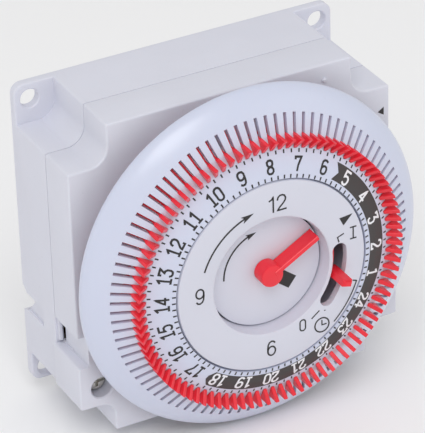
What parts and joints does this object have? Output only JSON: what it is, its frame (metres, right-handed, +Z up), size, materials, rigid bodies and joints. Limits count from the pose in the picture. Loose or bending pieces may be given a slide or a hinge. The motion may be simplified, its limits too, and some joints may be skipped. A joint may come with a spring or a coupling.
{
  "type": "programmable timer",
  "caption": "Square panel-mounted mechanical day timer with a slotted dial of red trippers, a centre clock with hands and a manual lever.",
  "frame": {"origin": "dial axis at the rear mounting plane", "axes": "+X to the right seen from the front, +Y towards the mounting panel, +Z up"},
  "size_m": [0.0756, 0.0453, 0.0756],
  "materials": {
    "rear_case_mat": "fine satin",
    "front_case_mat": "fine satin",
    "centre_plate_mat": "fine satin",
    "movement_plate_rear_mat": "turned",
    "movement_plate_front_mat": "turned",
    "pillar_1_mat": "bright",
    "pillar_2_mat": "bright",
    "pillar_3_mat": "bright",
    "pillar_4_mat": "bright",
    "motor_can_mat": "bright",
    "motor_cover_mat": "bright",
    "motor_bobbin_mat": "matt",
    "motor_winding_mat": "enamelled copper wire",
    "follower_pin_mat": "bright",
    "follower_spring_mat": "bright",
    "switch_base_mat": "matt",
    "contact_no_mat": "turned",
    "contact_nc_mat": "turned",
    "common_tab_mat": "turned",
    "terminal_clamp_left_mat": "turned",
    "terminal_clamp_right_mat": "turned",
    "lead_live_mat": "insulation",
    "lead_neutral_mat": "insulation",
    "dial_ring_mat": "fine satin",
    "dial_ring_gear_mat": "matt",
    "dial_clip_mat": "bright",
    "tripper_set_mat": "semi gloss",
    "hour_disc_mat": "fine satin",
    "hour_wheel_mat": "matt",
    "minute_hand_mat": "semi gloss",
    "centre_arbor_mat": "bright",
    "cannon_pinion_mat": "turned",
    "clutch_wheel_mat": "turned",
    "minute_wheel_mat": "matt",
    "dial_drive_pinion_mat": "turned",
    "intermediate_wheel_mat": "matt",
    "motor_pinion_mat": "turned",
    "motor_rotor_mat": "matt",
    "manual_lever_mat": "semi gloss",
    "follower_lever_mat": "matt",
    "contact_common_mat": "turned",
    "terminal_screw_left_mat": "bright",
    "terminal_screw_right_mat": "bright",
    "tripper_0045_mat": "semi gloss",
    "tripper_0400_mat": "semi gloss",
    "tripper_0500_mat": "semi gloss",
    "tripper_0800_mat": "semi gloss",
    "tripper_0900_mat": "semi gloss",
    "tripper_2000_mat": "semi gloss"
  },
  "bodies": {
    "case": {"rear_case": "rear_case_mat", "front_case": "front_case_mat", "centre_plate": "centre_plate_mat", "movement_plate_rear": "movement_plate_rear_mat", "movement_plate_front": "movement_plate_front_mat", "pillar_1": "pillar_1_mat", "pillar_2": "pillar_2_mat", "pillar_3": "pillar_3_mat", "pillar_4": "pillar_4_mat", "motor_can": "motor_can_mat", "motor_cover": "motor_cover_mat", "motor_bobbin": "motor_bobbin_mat", "motor_winding": "motor_winding_mat", "follower_pin": "follower_pin_mat", "follower_spring": "follower_spring_mat", "switch_base": "switch_base_mat", "contact_no": "contact_no_mat", "contact_nc": "contact_nc_mat", "common_tab": "common_tab_mat", "terminal_clamp_left": "terminal_clamp_left_mat", "terminal_clamp_right": "terminal_clamp_right_mat", "lead_live": "lead_live_mat", "lead_neutral": "lead_neutral_mat"},
    "dial": {"dial_ring": "dial_ring_mat", "dial_ring_gear": "dial_ring_gear_mat", "dial_clip": "dial_clip_mat", "tripper_set": "tripper_set_mat"},
    "hour": {"hour_disc": "hour_disc_mat", "hour_wheel": "hour_wheel_mat"},
    "minute": {"minute_hand": "minute_hand_mat", "centre_arbor": "centre_arbor_mat", "cannon_pinion": "cannon_pinion_mat", "clutch_wheel": "clutch_wheel_mat"},
    "minute_wheel_arbor": {"minute_wheel": "minute_wheel_mat"},
    "dial_drive": {"dial_drive_pinion": "dial_drive_pinion_mat"},
    "intermediate": {"intermediate_wheel": "intermediate_wheel_mat"},
    "motor_output": {"motor_pinion": "motor_pinion_mat"},
    "rotor": {"motor_rotor": "motor_rotor_mat"},
    "lever": {"manual_lever": "manual_lever_mat"},
    "follower": {"follower_lever": "follower_lever_mat"},
    "common_blade": {"contact_common": "contact_common_mat"},
    "screw_left": {"terminal_screw_left": "terminal_screw_left_mat"},
    "screw_right": {"terminal_screw_right": "terminal_screw_right_mat"},
    "tripper_0045": {"tripper_0045": "tripper_0045_mat"},
    "tripper_0400": {"tripper_0400": "tripper_0400_mat"},
    "tripper_0500": {"tripper_0500": "tripper_0500_mat"},
    "tripper_0800": {"tripper_0800": "tripper_0800_mat"},
    "tripper_0900": {"tripper_0900": "tripper_0900_mat"},
    "tripper_2000": {"tripper_2000": "tripper_2000_mat"}
  },
  "joints": [
    {"name": "dial_turn", "type": "hinge", "parent": "case", "child": "dial", "pos_m": [0, -0.035, 0], "axis": [0, 1, 0], "continuous": true},
    {"name": "hour_turn", "type": "hinge", "parent": "case", "child": "hour", "pos_m": [0, -0.037, 0], "axis": [0, 1, 0], "continuous": true},
    {"name": "minute_turn", "type": "hinge", "parent": "case", "child": "minute", "pos_m": [0, -0.038, 0], "axis": [0, 1, 0], "continuous": true},
    {"name": "minute_wheel_turn", "type": "hinge", "parent": "case", "child": "minute_wheel_arbor", "pos_m": [-0.00831, -0.022, 0.0048], "axis": [0, 1, 0], "continuous": true},
    {"name": "dial_drive_turn", "type": "hinge", "parent": "case", "child": "dial_drive", "pos_m": [-0.00995, -0.026, -0.00336], "axis": [0, 1, 0], "continuous": true},
    {"name": "intermediate_turn", "type": "hinge", "parent": "case", "child": "intermediate", "pos_m": [-0.00525, -0.016, 0.00909], "axis": [0, 1, 0], "continuous": true},
    {"name": "motor_output_turn", "type": "hinge", "parent": "case", "child": "motor_output", "pos_m": [-0.01304, -0.0145, 0.01359], "axis": [0, 1, 0], "continuous": true},
    {"name": "rotor_turn", "type": "hinge", "parent": "case", "child": "rotor", "pos_m": [-0.009, -0.006, 0.01], "axis": [0, 1, 0], "continuous": true},
    {"name": "lever_swing", "type": "hinge", "parent": "case", "child": "lever", "pos_m": [0, -0.038, 0], "axis": [0, 1, 0], "range_deg": [-17, 17]},
    {"name": "follower_swing", "type": "hinge", "parent": "case", "child": "follower", "pos_m": [0.0265, -0.0215, -0.002], "axis": [0, 1, 0], "range_deg": [0, 4]},
    {"name": "common_blade_flex", "type": "hinge", "parent": "case", "child": "common_blade", "pos_m": [0.016, -0.0095, -0.0254], "axis": [0, 1, 0], "range_deg": [-1.1, 0.1]},
    {"name": "screw_left_turn", "type": "hinge", "parent": "case", "child": "screw_left", "pos_m": [-0.0318, -0.018, -0.0233], "axis": [0, 1, 0], "continuous": true},
    {"name": "screw_right_turn", "type": "hinge", "parent": "case", "child": "screw_right", "pos_m": [0.0318, -0.018, -0.0233], "axis": [0, 1, 0], "continuous": true},
    {"name": "tripper_0045_slide", "type": "slide", "parent": "dial", "child": "tripper_0045", "axis": [0.9517, 0, -0.3069], "range_m": [0, 0.0036]},
    {"name": "tripper_0400_slide", "type": "slide", "parent": "dial", "child": "tripper_0400", "axis": [0.8583, 0, 0.5132], "range_m": [0, 0.0036]},
    {"name": "tripper_0500_slide", "type": "slide", "parent": "dial", "child": "tripper_0500", "axis": [0.6962, 0, 0.7178], "range_m": [0, 0.0036]},
    {"name": "tripper_0800_slide", "type": "slide", "parent": "dial", "child": "tripper_0800", "axis": [-0.0153, 0, 0.9999], "range_m": [0, 0.0036]},
    {"name": "tripper_0900_slide", "type": "slide", "parent": "dial", "child": "tripper_0900", "axis": [-0.2735, 0, 0.9619], "range_m": [0, 0.0036]},
    {"name": "tripper_2000_slide", "type": "slide", "parent": "dial", "child": "tripper_2000", "axis": [0.0153, 0, -0.9999], "range_m": [0, 0.0036]}
  ],
  "couplings": [
    {"joint": "hour_turn", "follows": "dial_turn", "ratio": 2},
    {"joint": "minute_turn", "follows": "dial_turn", "ratio": 24},
    {"joint": "minute_wheel_turn", "follows": "dial_turn", "ratio": -8},
    {"joint": "dial_drive_turn", "follows": "dial_turn", "ratio": 2.4},
    {"joint": "intermediate_turn", "follows": "dial_turn", "ratio": -144},
    {"joint": "motor_output_turn", "follows": "dial_turn", "ratio": 720},
    {"joint": "common_blade_flex", "follows": "follower_swing", "ratio": -0.2513}
  ]
}
